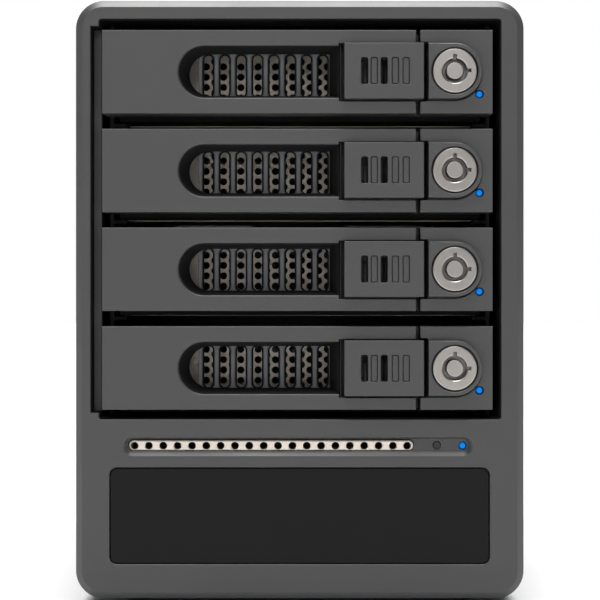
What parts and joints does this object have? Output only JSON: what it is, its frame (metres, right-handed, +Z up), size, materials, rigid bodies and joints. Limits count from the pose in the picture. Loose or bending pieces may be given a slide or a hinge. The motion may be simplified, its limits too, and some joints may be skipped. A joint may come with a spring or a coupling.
{
  "type": "nas enclosure",
  "caption": "Free-standing drive tower with pull-out lockable trays, swing-out tray handles, perforated front strip, rear fan and mains inlet.",
  "frame": {"origin": "on the ground under the middle of the tower's bounding box", "axes": "+X to the right seen from the front, +Y to the back, +Z up; the trays pull out along -Y"},
  "size_m": [0.1358, 0.22, 0.1842],
  "materials": {
    "front_paint": "dark grey fine-textured satin paint",
    "shell_paint": "dark grey fine-textured satin paint",
    "black_steel": "black-coated steel",
    "foot_rubber": "matt black rubber",
    "strip_metal": "pale beige brushed metal",
    "window_gloss": "near-black gloss inlay",
    "blue_light": "lit blue lens",
    "board": "green solder mask",
    "sheet_steel": "zinc-plated sheet steel",
    "caddy_steel": "warm grey plated sheet steel",
    "port_metal": "tin-plated steel",
    "black_plastic": "black moulded plastic",
    "tray_plastic": "dark grey moulded plastic with a fine texture",
    "lock_nickel": "satin nickel",
    "pin_steel": "plain steel"
  },
  "bodies": {
    "root": {"front_bezel": "front_paint", "outer_shell": "shell_paint", "rear_panel": "shell_paint", "rear_screw_1": "black_steel", "rear_screw_2": "black_steel", "rear_screw_3": "black_steel", "rear_screw_4": "black_steel", "foot_1": "foot_rubber", "foot_2": "foot_rubber", "foot_3": "foot_rubber", "foot_4": "foot_rubber", "vent_strip": "strip_metal", "front_window": "window_gloss", "status_led": "blue_light", "front_board": "board", "drive_cage": "sheet_steel", "backplane_board": "board", "power_supply": "sheet_steel", "controller_board": "board", "data_port_1": "port_metal", "data_port_2": "port_metal", "power_inlet": "black_plastic", "switch_frame": "black_plastic", "fan_frame": "black_plastic", "fan_guard": "black_steel"},
    "tray_1": {"tray_1_front": "tray_plastic", "tray_1_caddy": "caddy_steel", "tray_1_hinge_pin": "pin_steel", "tray_1_led": "blue_light"},
    "handle_1": {"tray_1_handle": "tray_plastic"},
    "latch_1": {"tray_1_latch": "tray_plastic"},
    "lock_1": {"tray_1_lock_core": "lock_nickel"},
    "tray_2": {"tray_2_front": "tray_plastic", "tray_2_caddy": "caddy_steel", "tray_2_hinge_pin": "pin_steel", "tray_2_led": "blue_light"},
    "handle_2": {"tray_2_handle": "tray_plastic"},
    "latch_2": {"tray_2_latch": "tray_plastic"},
    "lock_2": {"tray_2_lock_core": "lock_nickel"},
    "tray_3": {"tray_3_front": "tray_plastic", "tray_3_caddy": "caddy_steel", "tray_3_hinge_pin": "pin_steel", "tray_3_led": "blue_light"},
    "handle_3": {"tray_3_handle": "tray_plastic"},
    "latch_3": {"tray_3_latch": "tray_plastic"},
    "lock_3": {"tray_3_lock_core": "lock_nickel"},
    "tray_4": {"tray_4_front": "tray_plastic", "tray_4_caddy": "caddy_steel", "tray_4_hinge_pin": "pin_steel", "tray_4_led": "blue_light"},
    "handle_4": {"tray_4_handle": "tray_plastic"},
    "latch_4": {"tray_4_latch": "tray_plastic"},
    "lock_4": {"tray_4_lock_core": "lock_nickel"},
    "mute_button": {"mute_button": "tray_plastic"},
    "power_switch": {"power_switch": "black_plastic"},
    "fan_rotor": {"fan_rotor": "black_plastic"}
  },
  "joints": [
    {"name": "tray_1_slide", "type": "slide", "parent": "root", "child": "tray_1", "axis": [0, -1, 0], "range_m": [0, 0.15]},
    {"name": "handle_1_swing", "type": "hinge", "parent": "tray_1", "child": "handle_1", "pos_m": [-0.0562, -0.1031, 0.1625], "axis": [0, 0, -1], "range_deg": [0, 70]},
    {"name": "latch_1_slide", "type": "slide", "parent": "handle_1", "child": "latch_1", "axis": [-1, 0, 0], "range_m": [0, 0.001], "stiffness_N_per_m": 300, "springref_m": -0.0005},
    {"name": "lock_1_turn", "type": "hinge", "parent": "tray_1", "child": "lock_1", "pos_m": [0.04667, -0.1075, 0.1625], "axis": [0, 1, 0], "range_deg": [0, 90]},
    {"name": "tray_2_slide", "type": "slide", "parent": "root", "child": "tray_2", "axis": [0, -1, 0], "range_m": [0, 0.15]},
    {"name": "handle_2_swing", "type": "hinge", "parent": "tray_2", "child": "handle_2", "pos_m": [-0.0562, -0.1031, 0.13265], "axis": [0, 0, -1], "range_deg": [0, 70]},
    {"name": "latch_2_slide", "type": "slide", "parent": "handle_2", "child": "latch_2", "axis": [-1, 0, 0], "range_m": [0, 0.001], "stiffness_N_per_m": 300, "springref_m": -0.0005},
    {"name": "lock_2_turn", "type": "hinge", "parent": "tray_2", "child": "lock_2", "pos_m": [0.04667, -0.1075, 0.13265], "axis": [0, 1, 0], "range_deg": [0, 90]},
    {"name": "tray_3_slide", "type": "slide", "parent": "root", "child": "tray_3", "axis": [0, -1, 0], "range_m": [0, 0.15]},
    {"name": "handle_3_swing", "type": "hinge", "parent": "tray_3", "child": "handle_3", "pos_m": [-0.0562, -0.1031, 0.1028], "axis": [0, 0, -1], "range_deg": [0, 70]},
    {"name": "latch_3_slide", "type": "slide", "parent": "handle_3", "child": "latch_3", "axis": [-1, 0, 0], "range_m": [0, 0.001], "stiffness_N_per_m": 300, "springref_m": -0.0005},
    {"name": "lock_3_turn", "type": "hinge", "parent": "tray_3", "child": "lock_3", "pos_m": [0.04667, -0.1075, 0.1028], "axis": [0, 1, 0], "range_deg": [0, 90]},
    {"name": "tray_4_slide", "type": "slide", "parent": "root", "child": "tray_4", "axis": [0, -1, 0], "range_m": [0, 0.15]},
    {"name": "handle_4_swing", "type": "hinge", "parent": "tray_4", "child": "handle_4", "pos_m": [-0.0562, -0.1031, 0.07295], "axis": [0, 0, -1], "range_deg": [0, 70]},
    {"name": "latch_4_slide", "type": "slide", "parent": "handle_4", "child": "latch_4", "axis": [-1, 0, 0], "range_m": [0, 0.001], "stiffness_N_per_m": 300, "springref_m": -0.0005},
    {"name": "lock_4_turn", "type": "hinge", "parent": "tray_4", "child": "lock_4", "pos_m": [0.04667, -0.1075, 0.07295], "axis": [0, 1, 0], "range_deg": [0, 90]},
    {"name": "mute_button_press", "type": "slide", "parent": "root", "child": "mute_button", "axis": [0, 1, 0], "range_m": [0, 0.0008], "stiffness_N_per_m": 300, "springref_m": -0.0005},
    {"name": "power_switch_rock", "type": "hinge", "parent": "root", "child": "power_switch", "pos_m": [-0.0135, 0.1045, 0.025], "axis": [-1, 0, 0], "range_deg": [0, 14]},
    {"name": "fan_spin", "type": "hinge", "parent": "root", "child": "fan_rotor", "pos_m": [0, 0.0925, 0.118], "axis": [0, 1, 0], "continuous": true}
  ]
}
